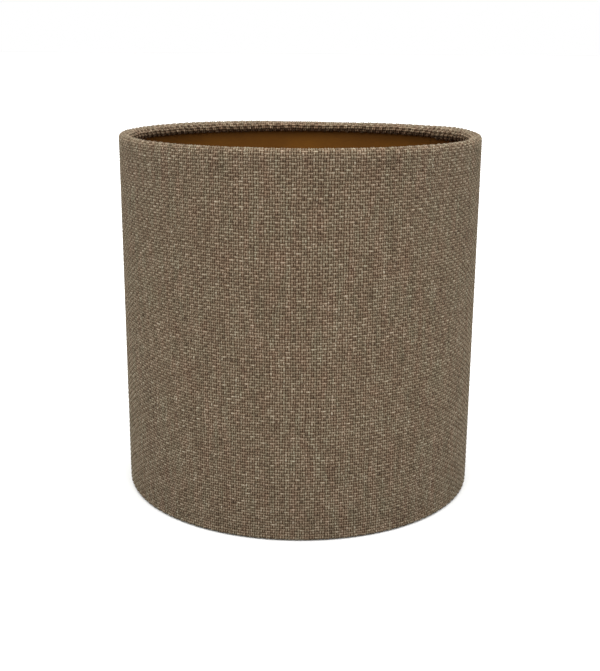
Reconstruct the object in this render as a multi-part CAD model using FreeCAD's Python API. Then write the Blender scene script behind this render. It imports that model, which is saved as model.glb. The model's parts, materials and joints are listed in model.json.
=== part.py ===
"""A straight drum lamp shade: woven cloth on a stiff rolled panel, with its cloth hems rolled
round two wire hoops and a three-armed spider in the base. Millimetres, +Z up.

The origin is on the shade's axis, level with the underside of the bottom hem. The viewer's side
is -Y. The upright side seam is towards the back, between +Y and +X.
"""
import FreeCAD, Part
import math
import os

# Overall size
shade_diameter = 200.0
shade_height = 200.0

# Cloth, panel and tapes, from the outside in
cloth_thickness = 1.0
panel_thickness = 0.4
film_thickness = 0.1
tape_thickness = 0.1
fit_gap = 0.02

# Wire hoops and hems
hoop_wire = 3.0
hem_edge_radius = 2.0

# Upright seam: the outer end of the cloth laps over the other end and is stuck down
seam_azimuth = 58.5
lap_width = 18.0
lap_ramp = 2.5
panel_slit = 0.3
joint_tape_width = 20.0

# Spider and its fitter ring
arm_count = 3
arm_wire = 3.0
arm_bend_radius = 8.0
arm_straight = 9.0
arm_rise = 21.4
first_arm_angle = 90.0
fitter_hole_radius = 21.0
fitter_outer_radius = 28.0
fitter_thickness = 1.6
fitter_edge_fillet = 0.3
weld_leg = 0.9
weld_length = 1.8
weld_end = 0.5
hem_slot_clearance = 0.4

# Radii of the layers
cover_outer = shade_diameter / 2
cover_inner = cover_outer - cloth_thickness
panel_inner = cover_inner - panel_thickness
film_inner = panel_inner - film_thickness

# Section of a hem: wire, tape round it, cloth round that
wire_radius = hoop_wire / 2
ring_tape_inner = wire_radius + fit_gap
ring_tape_outer = ring_tape_inner + tape_thickness
roll_inner = ring_tape_outer + fit_gap
roll_outer = roll_inner + cloth_thickness
hoop_radius = film_inner - ring_tape_outer - fit_gap
hoop_height = roll_outer
edge_centre = cover_outer - hem_edge_radius
panel_margin = hem_edge_radius + 0.2

# The seam's angles, counted from +X towards +Y
degrees_per_mm = 180.0 / (math.pi * cover_outer)
seam_edge_angle = 90.0 - seam_azimuth
lap_start_angle = seam_edge_angle - lap_width * degrees_per_mm
ramp_start_angle = lap_start_angle - lap_ramp * degrees_per_mm

up = FreeCAD.Vector(0, 0, 1)
origin = FreeCAD.Vector(0, 0, 0)


def at(radius, height):
    """A point of a section drawn in the half plane through +X."""
    return FreeCAD.Vector(radius, 0, height)


def line(start, end):
    return Part.LineSegment(start, end).toShape()


def arc(centre, radius, start_degrees, end_degrees):
    """An arc of a section, from one angle to another, counted from +X towards +Z."""
    points = []
    for part in (0.0, 0.5, 1.0):
        angle = math.radians(start_degrees + part * (end_degrees - start_degrees))
        points.append(centre + at(radius * math.cos(angle), radius * math.sin(angle)))
    return Part.Arc(*points).toShape()


def revolved(edges, start_angle=0.0, sweep=360.0):
    """The section's face, turned about the axis from start_angle through sweep degrees."""
    face = Part.Face(Part.Wire(edges))
    face.rotate(origin, up, start_angle)
    return face.revolve(origin, up, sweep)


def flipped(shape):
    """The shape mirrored top to bottom about the shade's mid height."""
    return shape.mirror(FreeCAD.Vector(0, 0, shade_height / 2), up)


def tube(inner, outer, low, high, start_angle=0.0, sweep=360.0):
    """A hollow cylinder, or a sector of one."""
    corners = [at(inner, low), at(outer, low), at(outer, high), at(inner, high)]
    edges = [line(corners[i], corners[(i + 1) % 4]) for i in range(4)]
    return revolved(edges, start_angle, sweep)


def section_of_cover(inner_offset, outer_offset):
    """The lower half of a layer of the cloth in section, between two offsets from the surface of
    the single cloth. It comes down the wall, turns under the hoop and up its inner side, and ends
    against the panel.
    """
    middle = shade_height / 2
    hoop = at(hoop_radius, hoop_height)
    edge = at(edge_centre, hem_edge_radius)
    wall_out = cover_outer + outer_offset
    wall_in = cover_outer + inner_offset
    roll_out = roll_outer + outer_offset
    roll_in = roll_outer + inner_offset
    tuck_high = hoop_height + roll_out
    tuck_low = hoop_height + roll_in
    return [
        line(at(wall_out, middle), at(wall_out, hem_edge_radius)),
        arc(edge, hem_edge_radius + outer_offset, 0, -90),
        line(at(edge_centre, -outer_offset), at(hoop_radius, -outer_offset)),
        arc(hoop, roll_out, -90, -270),
        line(at(hoop_radius, tuck_high), at(film_inner, tuck_high)),
        line(at(film_inner, tuck_high), at(film_inner, tuck_low)),
        line(at(film_inner, tuck_low), at(hoop_radius, tuck_low)),
        arc(hoop, roll_in, -270, -90),
        line(at(hoop_radius, -inner_offset), at(edge_centre, -inner_offset)),
        arc(edge, hem_edge_radius + inner_offset, -90, 0),
        line(at(wall_in, hem_edge_radius), at(wall_in, middle)),
        line(at(wall_in, middle), at(wall_out, middle)),
    ]


def arm_slots():
    """Where the cloth and the tape round the bottom hoop are slit for the spider's arms."""
    bead_radius = wire_radius + weld_leg
    half_width = bead_radius + hem_slot_clearance
    slots = []
    for angle in arm_angles():
        slot = Part.makeBox(hoop_radius, 2 * half_width, 3 * hoop_height)
        slot.translate(FreeCAD.Vector(0, -half_width, hoop_height - bead_radius - fit_gap))
        slot.rotate(origin, up, angle)
        slots.append(slot)
    return slots


def arm_angles():
    return [first_arm_angle + i * 360.0 / arm_count for i in range(arm_count)]


def fabric_cover():
    lift = cloth_thickness + tape_thickness
    lap_sweep = lap_width * degrees_per_mm
    layer = revolved(section_of_cover(-cloth_thickness, 0.0))
    lap = revolved(section_of_cover(0.0, lift), lap_start_angle, lap_sweep)
    ramp = tube(
        cover_inner, cover_outer + lift, hem_edge_radius, shade_height - hem_edge_radius,
        ramp_start_angle, lap_ramp * degrees_per_mm,
    ).cut(ramp_wedge(lift))
    cover = layer.fuse([flipped(layer), lap, flipped(lap), ramp])
    cover = cover.common(Part.makeCylinder(2 * cover_outer, shade_height))
    return cover.cut([cover_seam_tape()] + arm_slots()).removeSplitter()


def ramp_wedge(lift):
    """What is cut from the ramp so that it climbs evenly from the first layer onto the lap."""
    def on_circle(radius, angle):
        turn = math.radians(angle)
        return FreeCAD.Vector(radius * math.cos(turn), radius * math.sin(turn), 0)

    beyond = 2 * lap_ramp * degrees_per_mm
    corners = [
        on_circle(cover_outer, ramp_start_angle),
        on_circle(cover_outer + lift, lap_start_angle),
        on_circle(cover_outer + 2 * lift, lap_start_angle),
        on_circle(cover_outer + 2 * lift, ramp_start_angle - beyond),
        on_circle(cover_outer, ramp_start_angle - beyond),
    ]
    edges = [line(corners[i], corners[(i + 1) % len(corners)]) for i in range(len(corners))]
    return Part.Face(Part.Wire(edges)).extrude(FreeCAD.Vector(0, 0, shade_height))


def cover_seam_tape():
    """Double-sided tape between the two layers of the cloth's lap, out to the lap's edge."""
    tape_sweep = 0.9 * lap_width * degrees_per_mm
    low = 2 * hem_edge_radius
    return tube(
        cover_outer, cover_outer + tape_thickness, low, shade_height - low,
        seam_edge_angle - tape_sweep, tape_sweep,
    )


def rolled_sheet(inner, outer):
    """A sheet rolled into a tube whose two upright edges meet under the cloth's lap."""
    slit = panel_slit * degrees_per_mm
    return tube(
        inner, outer, panel_margin, shade_height - panel_margin,
        lap_start_angle + slit / 2, 360.0 - slit,
    )


def panel_joint_tape():
    """The strip stuck over the panel's joint on the inside, between the two hems."""
    sweep = joint_tape_width * degrees_per_mm
    low = hoop_height + roll_outer + cloth_thickness + tape_thickness + fit_gap
    return tube(
        film_inner - tape_thickness, film_inner, low, shade_height - low,
        lap_start_angle - sweep / 2, sweep,
    )


def bottom_ring():
    return Part.makeTorus(hoop_radius, wire_radius, FreeCAD.Vector(0, 0, hoop_height), up)


def bottom_ring_tape():
    centre = FreeCAD.Vector(0, 0, hoop_height)
    outer = Part.makeTorus(hoop_radius, ring_tape_outer, centre, up)
    inner = Part.makeTorus(hoop_radius, ring_tape_inner, centre, up)
    return outer.cut(inner)


def fitter_height():
    """The height of the fitter ring's middle, where the arms' inner ends are."""
    return hoop_height + arm_rise


def arm_path():
    """Along one arm in the half plane through +X: level from the hoop, up at a slope, level."""
    start = at(hoop_radius, hoop_height)
    low_bend = at(hoop_radius - wire_radius - arm_straight, hoop_height)
    high_bend = at(fitter_outer_radius + arm_straight, fitter_height())
    end = at(fitter_outer_radius - wire_radius, fitter_height())
    slope = math.atan2(arm_rise, low_bend.x - high_bend.x)
    trim = arm_bend_radius * math.tan(slope / 2)
    along = (high_bend - low_bend).normalize()
    inward = FreeCAD.Vector(-1, 0, 0)
    first = low_bend - inward * trim
    second = low_bend + along * trim
    third = high_bend - along * trim
    fourth = high_bend + inward * trim
    bow = arm_bend_radius * (1 - math.cos(slope / 2))
    side = FreeCAD.Vector(-math.sin(slope / 2), 0, -math.cos(slope / 2))
    low_centre = first + up * arm_bend_radius
    high_centre = fourth - up * arm_bend_radius
    low_middle = low_centre + side * arm_bend_radius
    high_middle = high_centre - side * arm_bend_radius
    assert bow < trim
    return Part.Wire([
        line(start, first),
        Part.Arc(first, low_middle, second).toShape(),
        line(second, third),
        Part.Arc(third, high_middle, fourth).toShape(),
        line(fourth, end),
    ])


def whole_arm():
    """One arm along +X, with its ends still running into the hoop and the fitter ring."""
    path = arm_path()
    profile = Part.Wire([Part.makeCircle(
        arm_wire / 2, at(hoop_radius, hoop_height), FreeCAD.Vector(1, 0, 0),
    )])
    return path.makePipeShell([profile], True, False)


def fitter_ring():
    low = fitter_height() - fitter_thickness / 2
    disc = Part.makeCylinder(fitter_outer_radius, fitter_thickness, FreeCAD.Vector(0, 0, low))
    disc = disc.makeFillet(fitter_edge_fillet, [
        edge for edge in disc.Edges if isinstance(edge.Curve, Part.Circle)
    ])
    hole = Part.makeCylinder(fitter_hole_radius, fitter_thickness, FreeCAD.Vector(0, 0, low))
    return disc.cut(hole)


def arm_welds():
    """The two beads of one arm along +X: a collar at the hoop and one at the fitter ring."""
    wide = wire_radius + weld_leg
    beads = []
    ends = [
        (at(hoop_radius, hoop_height), -1),
        (at(fitter_outer_radius - wire_radius, fitter_height()), 1),
    ]
    for start, direction in ends:
        along = FreeCAD.Vector(direction, 0, 0)
        collar = wire_radius + weld_length
        narrow = wide - weld_end
        bead = Part.makeCylinder(wide, collar, start, along)
        tip = Part.makeCone(wide, narrow, weld_end, start + along * collar, along)
        beads.append(bead.fuse(tip))
    return beads


def spider():
    """The arms cut to the hoop and the fitter ring they are welded to, and all the beads."""
    hoop = bottom_ring()
    fitter_disc = Part.makeCylinder(
        fitter_outer_radius, 4 * arm_wire, FreeCAD.Vector(0, 0, fitter_height() - 2 * arm_wire),
    )
    arm = whole_arm().cut([hoop, fitter_disc])
    beads = []
    for bead in arm_welds():
        cut = bead.cut([whole_arm(), hoop, fitter_disc])
        beads += cut.Solids
    arms = []
    welds = []
    for angle in arm_angles():
        turned = arm.copy()
        turned.rotate(origin, up, angle)
        arms.append(turned)
        for bead in beads:
            turned = bead.copy()
            turned.rotate(origin, up, angle)
            welds.append(turned)
    return arms, Part.makeCompound(welds)


def main():
    os.makedirs("parts", exist_ok=True)
    arms, welds = spider()
    nodes = {
        "fabric_cover": fabric_cover(),
        "cover_seam_tape": cover_seam_tape(),
        "backing_panel": rolled_sheet(panel_inner, cover_inner),
        "gold_lining": rolled_sheet(film_inner, panel_inner),
        "panel_joint_tape": panel_joint_tape(),
        "bottom_ring": bottom_ring(),
        "top_ring": flipped(bottom_ring()),
        "bottom_ring_tape": bottom_ring_tape().cut(arm_slots()),
        "top_ring_tape": flipped(bottom_ring_tape()),
        "fitter_ring": fitter_ring(),
        "spider_welds": welds,
    }
    for number, arm in enumerate(arms, start=1):
        nodes["spider_arm_%d" % number] = arm
    for name, shape in nodes.items():
        shape.exportStep("parts/%s.step" % name)
        box = shape.optimalBoundingBox()
        print(
            "%-18s solids %2d  valid %s  volume %9.1f mm3  z %.2f to %.2f"
            % (name, len(shape.Solids), shape.isValid(), shape.Volume, box.ZMin, box.ZMax)
        )


main()
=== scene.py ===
import bpy
import json
import math
import numpy as np
from mathutils import Matrix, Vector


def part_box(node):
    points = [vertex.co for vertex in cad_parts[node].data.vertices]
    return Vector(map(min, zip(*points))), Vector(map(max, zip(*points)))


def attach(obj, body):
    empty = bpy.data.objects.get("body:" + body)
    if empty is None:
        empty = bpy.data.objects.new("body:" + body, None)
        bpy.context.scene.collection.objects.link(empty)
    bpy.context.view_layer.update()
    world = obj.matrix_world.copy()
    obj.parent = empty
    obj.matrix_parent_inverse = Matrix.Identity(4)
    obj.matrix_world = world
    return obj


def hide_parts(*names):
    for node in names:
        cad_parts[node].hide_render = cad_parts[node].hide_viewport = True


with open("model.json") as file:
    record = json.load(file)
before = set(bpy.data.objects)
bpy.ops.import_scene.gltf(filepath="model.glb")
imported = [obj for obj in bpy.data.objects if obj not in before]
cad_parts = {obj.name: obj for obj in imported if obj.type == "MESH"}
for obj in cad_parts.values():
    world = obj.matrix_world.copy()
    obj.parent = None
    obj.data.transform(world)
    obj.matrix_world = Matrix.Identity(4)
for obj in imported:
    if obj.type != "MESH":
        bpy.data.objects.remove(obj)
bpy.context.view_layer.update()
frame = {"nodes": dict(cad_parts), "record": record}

MM = 0.001
FILM_THICKNESS = 0.1 * MM

# ---------------------------------------------------------------- sizes, read from the frame

cover_low, cover_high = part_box("fabric_cover")
hoop_low, hoop_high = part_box("bottom_ring")
film_low, film_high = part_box("gold_lining")
strip_low, strip_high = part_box("panel_joint_tape")

DRUM_RADIUS = round((cover_high.x - cover_low.x) / 2, 5)
DRUM_HEIGHT = round(cover_high.z - cover_low.z, 5)
WIRE_RADIUS = round((hoop_high.z - hoop_low.z) / 2, 5)
HOOP_HEIGHT = (hoop_high.z + hoop_low.z) / 2
HOOP_RADIUS = (hoop_high.x - hoop_low.x) / 2 - WIRE_RADIUS
FILM_RADIUS = (film_high.x - film_low.x) / 2 - FILM_THICKNESS
ROLL_RADIUS = HOOP_HEIGHT
HEM_EDGE_RADIUS = 2.0 * MM

# The side seam: its folded edge, counted from +X towards +Y, and the lap behind it
SEAM_ANGLE = math.radians(31.5)
LAP_WIDTH = 18.0 * MM
JOINT_STRIP_WIDTH = 20.0 * MM
LAP_RAMP = 2.0 * MM
LAP_LIFT = 0.9 * MM
HEM_LAP_SHARE = 1.1
FOLD_RADIUS = 0.45 * MM
FOLD_LIFT = 0.25 * MM
FOLD_COLUMNS = 6

# The weave: paired warps that run up the drum, single wefts that run round it
WARP_COUNT = 488
WEFT_PITCH = 1.459 * MM
SAMPLES_PER_YARN = 4
COVER_SECTORS = 8
HIDDEN_WARPS = 3

# A yarn waves up and down by its crimp and has a rounded crown. Half widths are in yarns, and
# the crown's lowest value is where the gap beside a yarn bottoms out.
WARP_CRIMP = 0.48 * MM
WEFT_CRIMP = 0.26 * MM
YARN_CROWN = 0.28 * MM
WEFT_CROWN = 0.20 * MM
WARP_HALF_WIDTH = 0.34
WEFT_HALF_WIDTH = 0.29
LOWEST_CROWN = -0.7

# The hems: how much fuller the roll stands than the CAD's, how much deeper its weave is, how far
# the outer lip rises and how far the top edge wanders
HEM_SWELL = 0.75 * MM
HEM_CRIMP_GAIN = 1.2
LIP_RISE = 0.25 * MM
RIM_WANDER = 0.12 * MM
# The hand-rolled top hem's extra height, by degrees from +X towards +Y
RIM_RISE = [
    (0, 0.3 * MM), (20, 1.0 * MM), (40, 0.45 * MM), (75, 0.0), (95, 0.15 * MM), (112, 0.6 * MM),
    (133, 0.85 * MM), (158, 0.35 * MM), (190, 0.0), (340, 0.0), (360, 0.3 * MM),
]
# Its corners are rounded off over this many columns to each side
RIM_RISE_COLUMNS = 40
# Painted shade and light along the hems, by picks from the cloth's nearest end, where 0.5 is no
# change: under each roll dark with a painted warm reflection of the gold film, lighter on its inner
# face and crest. The scale turns picks into places on the colour ramp.
HEM_PAINTED_LIGHT = [
    (2.0, (0.45, 0.33, 0.27, 1.0)), (3.0, (0.50, 0.43, 0.38, 1.0)), (3.4, (0.70, 0.64, 0.60, 1.0)),
    (3.8, (0.74, 0.69, 0.66, 1.0)), (4.3, (0.58, 0.56, 0.55, 1.0)), (5.7, (0.52, 0.52, 0.52, 1.0)),
    (6.7, (0.44, 0.44, 0.44, 1.0)), (7.8, (0.48, 0.48, 0.48, 1.0)), (8.8, (0.60, 0.60, 0.60, 1.0)),
    (10.0, (0.57, 0.57, 0.57, 1.0)), (12.0, (0.50, 0.50, 0.50, 1.0)),
]
HEM_PAINTED_LIGHT_SCALE = 0.05
# Painted shade that darkens the cloth towards the floor, by picks from its bottom end, where 1 is no
# change
FLOOR_PAINTED_SHADE = [(9.0, 0.83), (14.0, 0.87), (20.0, 0.90), (32.0, 0.925), (64.0, 1.0)]

# The lining stands this far inside the CAD film, and the strip over the joint a little further
LINING_GAP = 0.12 * MM
JOINT_STRIP_GAP = 0.3 * MM

# The camera, in drum radii from the axis and above the floor, and its turns in radians
CAMERA_DISTANCE = 5.9128 * DRUM_RADIUS
CAMERA_HEIGHT = 2.4384 * DRUM_RADIUS
CAMERA_TILT = 0.2658
CAMERA_ROLL = 0.0070
CAMERA_PAN = -0.0009
CAMERA_LENS = 56.08

FLOOR_HALF_SIZE = 60.0

# The spider's arms, and the dimple and slit each one makes in the bottom hem
ARM_ANGLES = [math.radians(90.0 + 120.0 * i) for i in range(3)]
DIMPLE_DEPTH = 1.0 * MM
SLIT_DEPTH = 0.8 * MM


# ---------------------------------------------------------------- colour and node helpers

def linear(red, green, blue):
    """A colour given from 0 to 255 as a screen shows it, as a shader wants it."""
    out = []
    for value in (red, green, blue):
        c = value / 255.0
        out.append(c / 12.92 if c <= 0.04045 else ((c + 0.055) / 1.055) ** 2.4)
    return (*out, 1.0)


class Graph:
    """Builds one material's nodes with short calls."""

    def __init__(self, name):
        self.material = bpy.data.materials.new(name)
        self.material.use_nodes = True
        self.tree = self.material.node_tree
        self.shader = self.tree.nodes["Principled BSDF"]

    def put(self, socket, value):
        """Links a node's output to a socket, or sets the socket to a plain value."""
        if isinstance(value, bpy.types.NodeSocket):
            self.tree.links.new(value, socket)
        else:
            socket.default_value = value

    def math(self, operation, *values):
        node = self.tree.nodes.new("ShaderNodeMath")
        node.operation = operation
        for socket, value in zip(node.inputs, values):
            self.put(socket, value)
        return node.outputs[0]

    def smooth(self, value, low, high):
        """0 below low, 1 above high, and a smooth step between."""
        node = self.tree.nodes.new("ShaderNodeMapRange")
        node.interpolation_type = "SMOOTHSTEP"
        self.put(node.inputs["Value"], value)
        node.inputs["From Min"].default_value = low
        node.inputs["From Max"].default_value = high
        return node.outputs["Result"]

    def vector(self, x, y, z=0.0):
        node = self.tree.nodes.new("ShaderNodeCombineXYZ")
        for socket, value in zip(node.inputs, (x, y, z)):
            self.put(socket, value)
        return node.outputs[0]

    def noise(self, vector, scale, detail=2.0, roughness=0.5):
        node = self.tree.nodes.new("ShaderNodeTexNoise")
        self.put(node.inputs["Vector"], vector)
        node.inputs["Scale"].default_value = scale
        node.inputs["Detail"].default_value = detail
        node.inputs["Roughness"].default_value = roughness
        return node.outputs["Fac"]

    def ramp(self, value, stops):
        """Turns a value into a colour, by stops of a place from 0 to 1 and a colour."""
        node = self.tree.nodes.new("ShaderNodeValToRGB")
        self.put(node.inputs["Fac"], value)
        elements = node.color_ramp.elements
        while len(elements) < len(stops):
            elements.new(0.5)
        for element, (place, colour) in zip(elements, stops):
            element.position = place
            element.color = colour
        return node.outputs["Color"]

    def mix(self, share, first, second, blend="MIX"):
        node = self.tree.nodes.new("ShaderNodeMix")
        node.data_type = "RGBA"
        node.blend_type = blend
        self.put(node.inputs["Factor"], share)
        colours = [socket for socket in node.inputs if socket.type == "RGBA"]
        self.put(colours[0], first)
        self.put(colours[1], second)
        return next(socket for socket in node.outputs if socket.type == "RGBA")

    def bump(self, height, strength, distance):
        """Gives the shading a fine grain by a height."""
        node = self.tree.nodes.new("ShaderNodeBump")
        self.put(node.inputs["Height"], height)
        node.inputs["Strength"].default_value = strength
        node.inputs["Distance"].default_value = distance
        self.put(self.shader.inputs["Normal"], node.outputs["Normal"])

    def place(self):
        """Where the point is in the scene."""
        return self.tree.nodes.new("ShaderNodeNewGeometry").outputs["Position"]

    def clouds(self, scale, detail, dark, light):
        """A colour that drifts between two close tones from place to place."""
        return self.ramp(self.noise(self.place(), scale, detail), [(0.3, dark), (0.7, light)])

    def finish(self, **values):
        """Sets the shader's inputs by name, with _ for a space, and gives the material back."""
        for name, value in values.items():
            self.put(self.shader.inputs[name.replace("_", " ")], value)
        return self.material


# ---------------------------------------------------------------- materials

def woven_cloth(pick_count):
    """Melange yarns in a weave of paired warps. The UV map holds warps across, wefts up."""
    g = Graph("woven_cloth")
    uv = g.tree.nodes.new("ShaderNodeUVMap")
    uv.uv_map = "yarns"
    split = g.tree.nodes.new("ShaderNodeSeparateXYZ")
    g.put(split.inputs[0], uv.outputs["UV"])
    u, v = split.outputs[0], split.outputs[1]

    # The yarns at this point, and how far off their middles it is
    warp = g.math("FLOOR", u)
    pair = g.math("FLOOR", g.math("MULTIPLY", u, 0.5))
    weft = g.math("FLOOR", v)
    across_warp = g.math("SUBTRACT", g.math("FRACT", u), 0.5)
    across_weft = g.math("SUBTRACT", g.math("FRACT", v), 0.5)

    # Which yarn is on top, by the same crimp and crown as weave_height gives the mesh
    def crimp(along, index):
        wave = g.math("COSINE", g.math("MULTIPLY", g.math("SUBTRACT", along, 0.5), math.pi))
        return g.math("MULTIPLY", wave, g.math("COSINE", g.math("MULTIPLY", index, math.pi)))

    def crown(across, half_width):
        square = g.math("MULTIPLY", across, across)
        rise = g.math("SUBTRACT", 1.0, g.math("MULTIPLY", square, half_width ** -2))
        return g.math("MAXIMUM", rise, LOWEST_CROWN)

    warp_crown = crown(across_warp, WARP_HALF_WIDTH)
    weft_crown = crown(across_weft, WEFT_HALF_WIDTH)
    warp_lift = g.math("MULTIPLY", crimp(v, pair), -1.0)
    weft_lift = crimp(g.math("MULTIPLY", u, 0.5), weft)
    warp_top = g.math("ADD", g.math("MULTIPLY", warp_lift, WARP_CRIMP / YARN_CROWN), warp_crown)
    weft_top = g.math("ADD", g.math("MULTIPLY", weft_lift, WEFT_CRIMP / YARN_CROWN),
                      g.math("MULTIPLY", weft_crown, WEFT_CROWN / YARN_CROWN))
    weft_shows = g.smooth(g.math("SUBTRACT", weft_top, warp_top), -0.1, 0.1)

    # The yarns' own tones
    def yarn_tone(number, along, seed, slow_share):
        """Long and short changes of tone along one yarn, from 0 to 1."""
        offset = g.math("MULTIPLY", number, 7.31)
        slow = g.noise(g.vector(offset, g.math("MULTIPLY", along, 0.045), seed), 1.0, 1.0)
        quick = g.noise(g.vector(offset, g.math("MULTIPLY", along, 0.4), seed + 9.0), 1.0, 2.0, 0.6)
        slow_part = g.math("MULTIPLY", slow, slow_share)
        return g.math("ADD", slow_part, g.math("MULTIPLY", quick, 1 - slow_share))

    warp_colour = g.ramp(yarn_tone(warp, v, 2.0, 0.3), [
        (0.32, linear(64, 52, 40)), (0.48, linear(89, 77, 62)),
        (0.60, linear(107, 97, 82)), (0.70, linear(124, 116, 102)),
    ])
    weft_colour = g.ramp(yarn_tone(weft, u, 31.0, 0.25), [
        (0.32, linear(74, 61, 48)), (0.48, linear(99, 87, 71)),
        (0.60, linear(119, 108, 92)), (0.70, linear(136, 127, 112)),
    ])
    colour = g.mix(weft_shows, warp_colour, weft_colour)

    # The twist and the fibres of the yarns
    def twist(along, turns, across):
        """The fine slanting lines of a twisted yarn."""
        slant = g.math("ADD", g.math("MULTIPLY", along, turns), g.math("MULTIPLY", across, 7.0))
        return g.math("SINE", slant)

    twist_warp = twist(v, 16.0, across_warp)
    twist_weft = twist(u, 14.0, across_weft)
    fibre_place = g.vector(g.math("MULTIPLY", u, 3.0), g.math("MULTIPLY", v, 3.0), 5.0)
    fibre = g.noise(fibre_place, 1.0, 3.0, 0.7)
    twists = g.math("ADD", g.math("MULTIPLY", twist_warp, 0.03), g.math("MULTIPLY", twist_weft, 0.03))
    shade = g.math("ADD", g.math("ADD", 0.8, g.math("MULTIPLY", fibre, 0.4)), twists)
    colour = g.mix(1.0, colour, g.vector(shade, shade, shade), "MULTIPLY")

    # Painted shade, dark and warm, in the gaps between them and down the yarns' flanks
    warp_own = g.vector(warp_crown, g.math("ADD", warp_lift, 0.45))
    own = g.mix(weft_shows, warp_own, g.vector(weft_crown, weft_lift))
    split_own = g.tree.nodes.new("ShaderNodeSeparateXYZ")
    g.put(split_own.inputs[0], own)
    own_crown, own_lift = split_own.outputs[0], split_own.outputs[1]
    crest = g.math("MULTIPLY", g.smooth(own_crown, -0.5, 1.0), g.smooth(own_lift, -0.4, 0.5))
    gap_painted_shade = g.mix(1.0, colour, (0.30, 0.18, 0.10, 1.0), "MULTIPLY")
    colour = g.mix(crest, gap_painted_shade, colour)

    # Upright streaks of a warmer and a cooler hue
    streak_place = g.vector(g.math("MULTIPLY", u, 0.25), g.math("MULTIPLY", v, 0.07), 77.0)
    streak = g.noise(streak_place, 1.0, 4.0, 0.7)
    hue = g.ramp(streak, [(0.35, (1.033, 0.953, 0.955, 1.0)), (0.65, (0.967, 1.047, 1.045, 1.0))])
    colour = g.mix(1.0, colour, hue, "MULTIPLY")

    # Painted shade and light along the hems, and painted shade towards the floor
    from_end = g.math("MINIMUM", v, g.math("SUBTRACT", pick_count, v))
    stops = [(HEM_PAINTED_LIGHT_SCALE * pick, tint) for pick, tint in HEM_PAINTED_LIGHT]
    hem_painted_light = g.ramp(g.math("MULTIPLY", from_end, HEM_PAINTED_LIGHT_SCALE), stops)
    colour = g.mix(1.0, g.mix(1.0, colour, hem_painted_light, "MULTIPLY"), (2.0, 2.0, 2.0, 1.0), "MULTIPLY")
    last_pick = FLOOR_PAINTED_SHADE[-1][0]
    floor_painted_shade = g.ramp(g.math("DIVIDE", v, last_pick), [
        (pick / last_pick, (grey, grey, grey, 1.0)) for pick, grey in FLOOR_PAINTED_SHADE
    ])
    colour = g.mix(1.0, colour, floor_painted_shade, "MULTIPLY")

    g.bump(g.math("ADD", twist_warp, g.math("MULTIPLY", fibre, 2.0)), 0.25, 0.05 * MM)
    return g.finish(
        Base_Color=colour, Roughness=0.95, Specular_IOR_Level=0.15,
        Sheen_Weight=0.03, Sheen_Roughness=0.5, Sheen_Tint=(0.55, 1.0, 0.65, 1.0),
    )


def gold_film():
    """Matt metallised film with a faint rolled grain that runs round the drum."""
    g = Graph("gold_film")
    split = g.tree.nodes.new("ShaderNodeSeparateXYZ")
    g.put(split.inputs[0], g.place())
    x, y, z = split.outputs
    grain = g.noise(g.vector(g.math("MULTIPLY", x, 0.1), g.math("MULTIPLY", y, 0.1), z), 3500.0, 2.0)
    cloud = g.noise(g.place(), 28.0, 3.0)
    tone = g.math("ADD", g.math("MULTIPLY", grain, 0.35), g.math("MULTIPLY", cloud, 0.65))
    colour = g.ramp(tone, [(0.25, linear(86, 52, 10)), (0.75, linear(108, 68, 15))])
    rough = g.math("ADD", 0.5, g.math("MULTIPLY", cloud, 0.16))
    g.bump(grain, 0.12, 0.03 * MM)
    return g.finish(Base_Color=colour, Roughness=rough, Metallic=0.5, Specular_IOR_Level=0.2)


def powder_coat():
    g = Graph("powder_coat")
    colour = g.clouds(90.0, 3.0, linear(226, 223, 214), linear(236, 234, 227))
    g.bump(g.noise(g.place(), 2600.0, 2.0), 0.25, 0.04 * MM)
    return g.finish(Base_Color=colour, Roughness=0.38, Coat_Weight=0.15)


def plastic_sheet():
    g = Graph("plastic_sheet")
    colour = g.clouds(60.0, 3.0, linear(222, 220, 212), linear(233, 231, 225))
    g.bump(g.noise(g.place(), 900.0, 2.0), 0.1, 0.02 * MM)
    return g.finish(Base_Color=colour, Roughness=0.55)


def clear_tape():
    g = Graph("clear_tape")
    colour = g.clouds(160.0, 3.0, linear(205, 198, 178), linear(220, 214, 198))
    g.bump(g.noise(g.place(), 700.0, 2.0), 0.15, 0.02 * MM)
    return g.finish(Base_Color=colour, Roughness=0.45)


def studio_floor():
    g = Graph("studio_floor")
    colour = g.clouds(3.0, 2.0, linear(174, 174, 173), linear(178, 178, 177))
    return g.finish(Base_Color=colour, Roughness=0.9, Specular_IOR_Level=0.0)


# ---------------------------------------------------------------- mesh helpers

def grid_mesh(name, points, material, uv=None, normals=None, closed=False):
    """A mesh object from rows by columns of points, in metres, with smooth faces."""
    rows, columns = points.shape[:2]
    number = np.arange(rows * columns, dtype=np.int32).reshape(rows, columns)
    right = np.roll(number, -1, axis=1) if closed else number[:, 1:]
    left = number if closed else number[:, :-1]
    quads = np.stack([left[:-1], right[:-1], right[1:], left[1:]], axis=-1).reshape(-1, 4)
    mesh = bpy.data.meshes.new(name)
    mesh.vertices.add(rows * columns)
    mesh.vertices.foreach_set("co", points.astype(np.float32).ravel())
    mesh.loops.add(quads.size)
    mesh.loops.foreach_set("vertex_index", quads.ravel())
    mesh.polygons.add(len(quads))
    mesh.polygons.foreach_set("loop_start", np.arange(0, quads.size, 4, dtype=np.int32))
    mesh.polygons.foreach_set("use_smooth", np.ones(len(quads), dtype=bool))
    mesh.update(calc_edges=True)
    if uv is not None:
        layer = mesh.uv_layers.new(name="yarns")
        layer.data.foreach_set("uv", uv.reshape(-1, 2)[quads.ravel()].astype(np.float32).ravel())
    if normals is not None:
        mesh.normals_split_custom_set_from_vertices(normals.reshape(-1, 3).astype(np.float32))
    piece = bpy.data.objects.new(name, mesh)
    bpy.context.scene.collection.objects.link(piece)
    mesh.materials.append(material)
    return piece


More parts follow.
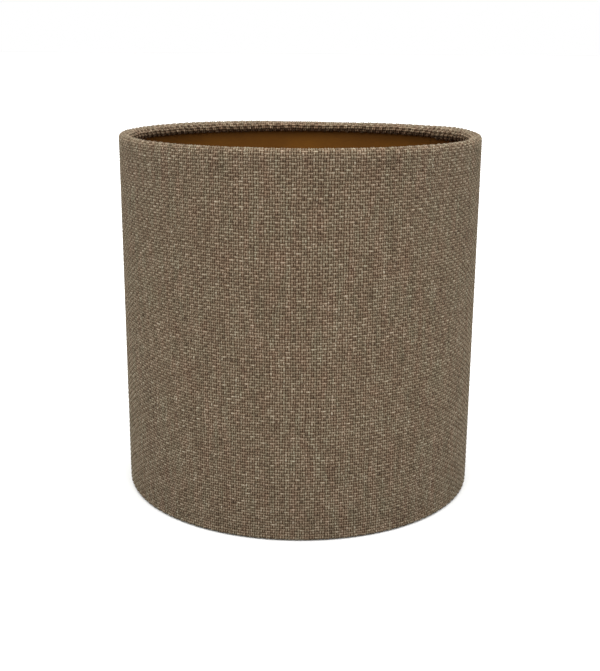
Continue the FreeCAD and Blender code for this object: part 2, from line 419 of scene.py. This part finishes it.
def value_noise(u, v, cell_u, cell_v, seed):
    """Smooth noise from -1 to 1 over two arrays of coordinates, with the given cell sizes."""
    a, b = u / cell_u, v / cell_v
    a, b = a - a.min(), b - b.min()
    ia, ib = np.floor(a).astype(int), np.floor(b).astype(int)
    fa, fb = a - ia, b - ib
    fa, fb = fa * fa * (3 - 2 * fa), fb * fb * (3 - 2 * fb)
    lattice = np.random.default_rng(seed).uniform(-1, 1, (ia.max() + 2, ib.max() + 2))
    low = lattice[ia, ib] * (1 - fb) + lattice[ia, ib + 1] * fb
    high = lattice[ia + 1, ib] * (1 - fb) + lattice[ia + 1, ib + 1] * fb
    return low * (1 - fa) + high * fa


def smooth_step(value, low, high):
    t = np.clip((value - low) / (high - low), 0, 1)
    return t * t * (3 - 2 * t)


# ---------------------------------------------------------------- the cloth

def hem_profile():
    """Radius and height along the cloth's outer surface, from the bottom hem's crevice, round the
    bottom hoop, up the wall and into the top hem's crevice, in close steps."""
    crevice = math.radians(58.0)
    edge_centre = DRUM_RADIUS - HEM_EDGE_RADIUS

    def arc(centre, radius, first, last, count):
        turn = np.linspace(first, last, count)
        return np.stack([centre[0] + radius * np.cos(turn), centre[1] + radius * np.sin(turn)], 1)

    bottom = math.radians(270.0)
    roll = arc((HOOP_RADIUS, HOOP_HEIGHT), ROLL_RADIUS, crevice, bottom, 80)
    edge = arc((edge_centre, HEM_EDGE_RADIUS), HEM_EDGE_RADIUS, bottom, math.radians(360.0), 30)
    lower = np.concatenate([roll, edge])
    upper = lower[::-1] * [1, -1] + [0, DRUM_HEIGHT]
    return np.concatenate([lower, upper])


def resample(line, step):
    """Points at even steps of length along a line of points, and the line's length."""
    lengths = np.concatenate([[0], np.cumsum(np.linalg.norm(np.diff(line, axis=0), axis=1))])
    count = int(round(lengths[-1] / step))
    places = np.linspace(0, lengths[-1], count + 1)
    return np.stack([np.interp(places, lengths, line[:, k]) for k in (0, 1)], 1), lengths[-1]


def cloth_columns():
    """For each column of the cloth: its warp coordinate, its angle, and how far the lap lifts it.
    The cloth starts hidden under the lap, goes once round, and ends in the folded edge."""
    warp_angle = 2 * math.pi / WARP_COUNT
    warp_pitch = warp_angle * DRUM_RADIUS
    samples = np.arange(-HIDDEN_WARPS * SAMPLES_PER_YARN, WARP_COUNT * SAMPLES_PER_YARN + 1)
    u = samples / SAMPLES_PER_YARN
    distance = (WARP_COUNT - u) * warp_pitch
    ramp_end = LAP_WIDTH + LAP_RAMP
    lift = LAP_LIFT * (1 - smooth_step(distance, LAP_WIDTH, ramp_end))
    lift = lift + FOLD_LIFT * (1 - smooth_step(distance, 1.5 * MM, 7 * MM)) * (distance < ramp_end)
    into_fold = (1 - distance / FOLD_RADIUS).clip(0, 1)
    lift = lift - FOLD_RADIUS * (1 - np.sqrt(np.clip(1 - into_fold ** 2, 0, 1)))
    angle = SEAM_ANGLE + u * warp_angle
    down = np.linspace(0.15, 1.0, FOLD_COLUMNS)
    u = np.concatenate([u, WARP_COUNT + down * 1.2])
    angle = np.concatenate([angle, np.full(FOLD_COLUMNS, angle[-1]) - down * 0.1 * warp_angle])
    lift = np.concatenate([lift, lift[-1] * (1 - 1.5 * down)])
    return u, angle, lift


def weave_height(u, v, crimp_gain):
    """Height of the woven surface in metres, with the top of the highest yarns near 0."""
    pair, warp, weft = np.floor(u / 2), np.floor(u), np.floor(v)
    warp_crown = np.maximum(1 - ((u - warp - 0.5) / WARP_HALF_WIDTH) ** 2, LOWEST_CROWN)
    weft_crown = np.maximum(1 - ((v - weft - 0.5) / WEFT_HALF_WIDTH) ** 2, LOWEST_CROWN)
    warp_lift = -np.cos(np.pi * pair) * np.cos(np.pi * (v - 0.5))
    weft_lift = np.cos(np.pi * weft) * np.cos(np.pi * (u / 2 - 0.5))
    warp_fullness = 1 + 0.3 * value_noise(warp * 5.3, v, 1.0, 9.0, 11)
    weft_fullness = 1 + 0.35 * value_noise(weft * 5.3, u, 1.0, 12.0, 12)
    warp_top = WARP_CRIMP * crimp_gain * warp_lift + YARN_CROWN * warp_crown * warp_fullness
    weft_top = WEFT_CRIMP * crimp_gain * weft_lift + WEFT_CROWN * weft_crown * weft_fullness
    sharp = 0.04 * MM
    top = np.logaddexp(warp_top / sharp, weft_top / sharp) * sharp
    return top - (WARP_CRIMP + YARN_CROWN)


def top_edge_rise(angle):
    """The top hem's extra height at each column's angle, with the corners rounded off."""
    places, rises = zip(*RIM_RISE)
    rise = np.interp(np.degrees(angle) % 360.0, places, rises)
    window = np.hanning(2 * RIM_RISE_COLUMNS + 1)
    return np.convolve(np.pad(rise, RIM_RISE_COLUMNS, mode="wrap"), window / window.sum(), "valid")


def cloth_cover(material):
    """The whole cloth in upright sectors that share their edges and normals exactly."""
    profile, length = resample(hem_profile(), WEFT_PITCH / SAMPLES_PER_YARN)
    tangent = np.gradient(profile, axis=0)
    tangent /= np.linalg.norm(tangent, axis=1, keepdims=True)
    outward = np.stack([tangent[:, 1], -tangent[:, 0]], 1)
    u_line, angle, lift = cloth_columns()
    v_line = np.arange(len(profile)) / SAMPLES_PER_YARN
    u, v = np.meshgrid(u_line, v_line)

    # The yarns wander a little from their places
    yarn_u = u + 0.24 * value_noise(u, v, 2.0, 5.0, 1) + 0.12 * value_noise(u, v, 1.0, 2.0, 2)
    yarn_v = v + 0.20 * value_noise(u, v, 5.0, 2.0, 3) + 0.30 * value_noise(u, v, 40.0, 25.0, 4)

    # The weave, fuller and deeper where the cloth rolls over the inner side of a hem
    radius, level = profile[:, :1], profile[:, 1:]
    in_top_half = level > DRUM_HEIGHT / 2
    towards_end = outward[:, 1:] * np.where(in_top_half, 1, -1)
    rolled = 1 - smooth_step(towards_end, 0.2, 0.97)
    rolled = rolled * smooth_step(DRUM_RADIUS - radius, 1.7 * MM, 2.6 * MM)
    height = weave_height(yarn_u, yarn_v, 1 + HEM_CRIMP_GAIN * rolled) + HEM_SWELL * rolled

    # The lap at the seam
    upright = np.abs(outward[:, :1])
    inner_side = radius < HOOP_RADIUS
    flattened = smooth_step(upright, 0.25, 0.9) * np.ones_like(level)
    lift_share = np.where(inner_side & (towards_end < 0.3), HEM_LAP_SHARE, flattened)
    offset = height + lift[None, :] * lift_share

    # The uneven top edge
    rim = smooth_step(level, DRUM_HEIGHT - 8 * MM, DRUM_HEIGHT)
    wander = value_noise(u, v * 0, 34.0, 1.0, 5) + 0.5 * value_noise(u, v * 0, 11.0, 1.0, 6)
    offset = offset + RIM_WANDER * wander * rim
    outer = smooth_step(radius, DRUM_RADIUS - 3.2 * MM, DRUM_RADIUS - 1.8 * MM)
    lip = smooth_step(towards_end, 0.35, 1.0) * outer
    upper = smooth_step(towards_end, 0.0, 1.0) * top_edge_rise(angle)[None, :]
    offset = offset + (LIP_RISE * lip + upper) * in_top_half

    # Each spider arm leaves the bottom hem through a slit, in a dimple
    for arm_angle in ARM_ANGLES:
        turn = (angle - arm_angle)[None, :]
        side = np.where(np.cos(turn) > 0, DRUM_RADIUS * np.sin(turn), 1.0)
        near = np.sqrt(side ** 2 + (level - HOOP_HEIGHT) ** 2)
        dip = DIMPLE_DEPTH * (1 - smooth_step(near, 1.6 * MM, 3.2 * MM))
        slit = SLIT_DEPTH * (1 - smooth_step(np.abs(side), 0.2 * MM, 0.8 * MM))
        slit = slit * (level > HOOP_HEIGHT)
        low_hem = inner_side & (level < 3 * HOOP_HEIGHT)
        offset = offset - np.where(low_hem, np.maximum(dip, slit), 0)

    r = radius + outward[:, :1] * offset
    z = np.maximum(level + outward[:, 1:] * offset, 0.02 * MM)
    points = np.stack([r * np.cos(angle)[None, :], r * np.sin(angle)[None, :], z], axis=-1)
    along = np.gradient(points, axis=1)
    up = np.gradient(points, axis=0)
    normals = np.cross(along, up)
    normals /= np.linalg.norm(normals, axis=2, keepdims=True).clip(1e-12)
    uv = np.stack([yarn_u, yarn_v], axis=-1)

    per_sector = WARP_COUNT // COVER_SECTORS * SAMPLES_PER_YARN
    edges = [0] + [HIDDEN_WARPS * SAMPLES_PER_YARN + per_sector * i for i in range(1, COVER_SECTORS)]
    edges.append(points.shape[1] - 1)
    for i, (first, last) in enumerate(zip(edges[:-1], edges[1:]), start=1):
        part = slice(first, last + 1)
        piece = grid_mesh(
            "woven_cover_%d" % i, points[:, part], material, uv[:, part], normals[:, part],
        )
        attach(piece, "root")
        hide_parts("fabric_cover")


# ---------------------------------------------------------------- lining and CAD pieces

def wall_strip(name, node, material, radius, first, last, low, high, closed=False):
    """A film on the inside of the wall, facing the axis, with the faint waves of a rolled sheet.
    It stands in for a CAD node, between two angles and two heights."""
    columns = round((last - first) / math.radians(0.5))
    angle = np.linspace(first, last, columns + (not closed), endpoint=not closed)
    a, z = np.meshgrid(angle, np.linspace(low, high, 60))
    wave = 0.05 * MM * np.sin(5 * a + 0.7) + 0.04 * MM * np.sin(9 * a + 30 * z)
    r = radius + wave
    points = np.stack([r * np.cos(a), r * np.sin(a), z], axis=-1)[:, ::-1]
    piece = grid_mesh(name, points, material, closed=closed)
    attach(piece, "root")
    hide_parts(node)


def lining(material):
    """The gold film, and the strip of it that covers the joint behind the seam."""
    wall_strip(
        "lining_film", "gold_lining", material, FILM_RADIUS - LINING_GAP,
        0.0, 2 * math.pi, film_low.z, film_high.z, closed=True,
    )
    lap_start = SEAM_ANGLE + LAP_WIDTH / DRUM_RADIUS
    half_width = JOINT_STRIP_WIDTH / 2 / FILM_RADIUS
    wall_strip(
        "joint_strip", "panel_joint_tape", material, FILM_RADIUS - JOINT_STRIP_GAP,
        lap_start - half_width, lap_start + half_width, strip_low.z, strip_high.z,
    )


def paint_nodes(materials):
    """Gives each CAD node that still shows its material."""
    for name, node in frame["nodes"].items():
        slot = next(s["material_slot"] for s in frame["record"]["subparts"] if s["node"] == name)
        node.data.materials.clear()
        node.data.materials.append(materials[slot])


# ---------------------------------------------------------------- stage, light and camera

def floor(material):
    x, y = np.meshgrid([-FLOOR_HALF_SIZE, FLOOR_HALF_SIZE], [-FLOOR_HALF_SIZE, FLOOR_HALF_SIZE])
    piece = grid_mesh("floor", np.stack([x, y, np.zeros_like(x)], axis=-1), material)


def soft_sun(name, azimuth, elevation, spread, strength):
    """A distant disc of light, placed by degrees right of the front and above the floor, and of a
    width in degrees."""
    data = bpy.data.lights.new(name, "SUN")
    data.energy = strength
    data.angle = math.radians(spread)
    lamp = bpy.data.objects.new(name, data)
    bpy.context.scene.collection.objects.link(lamp)
    lamp.rotation_euler = (math.radians(90.0 - elevation), 0.0, math.radians(azimuth))


def lights():
    """An even white surround, a soft key light from each side of the front, one from the back and
    a wider one overhead."""
    world = bpy.data.worlds.new("studio")
    world.use_nodes = True
    world.node_tree.nodes["Background"].inputs["Color"].default_value = (1, 1, 1, 1)
    world.node_tree.nodes["Background"].inputs["Strength"].default_value = 1.0
    bpy.context.scene.world = world
    soft_sun("key_left", -40.0, 38.0, 40.0, 1.2)
    soft_sun("key_right", 40.0, 38.0, 40.0, 1.2)
    soft_sun("back", 180.0, 38.0, 50.0, 1.3)
    soft_sun("overhead", 0.0, 80.0, 70.0, 6.8)


def camera():
    """At the height and distance of a viewer who looks slightly down on the shade."""
    data = bpy.data.cameras.new("camera")
    data.sensor_width = 36.0
    data.lens = CAMERA_LENS
    data.clip_start = 0.01
    cam = bpy.data.objects.new("camera", data)
    bpy.context.scene.collection.objects.link(cam)
    cam.location = (0.0, -CAMERA_DISTANCE, CAMERA_HEIGHT)
    cam.rotation_mode = "XYZ"
    turn = Matrix.Rotation(CAMERA_PAN, 4, "Z") @ Matrix.Rotation(math.pi / 2 - CAMERA_TILT, 4, "X")
    turn = turn @ Matrix.Rotation(CAMERA_ROLL, 4, "Z")
    cam.rotation_euler = turn.to_euler()
    bpy.context.scene.camera = cam


# ---------------------------------------------------------------- the scene

PICK_COUNT = (len(resample(hem_profile(), WEFT_PITCH / SAMPLES_PER_YARN)[0]) - 1) / SAMPLES_PER_YARN

materials = {
    "cloth": woven_cloth(PICK_COUNT),
    "gold_film": gold_film(),
    "wire": powder_coat(),
    "panel": plastic_sheet(),
    "clear_tape": clear_tape(),
}
camera()
lights()
floor(studio_floor())
paint_nodes(materials)
cloth_cover(materials["cloth"])
lining(materials["gold_film"])

bpy.context.scene.view_settings.view_transform = "Standard"
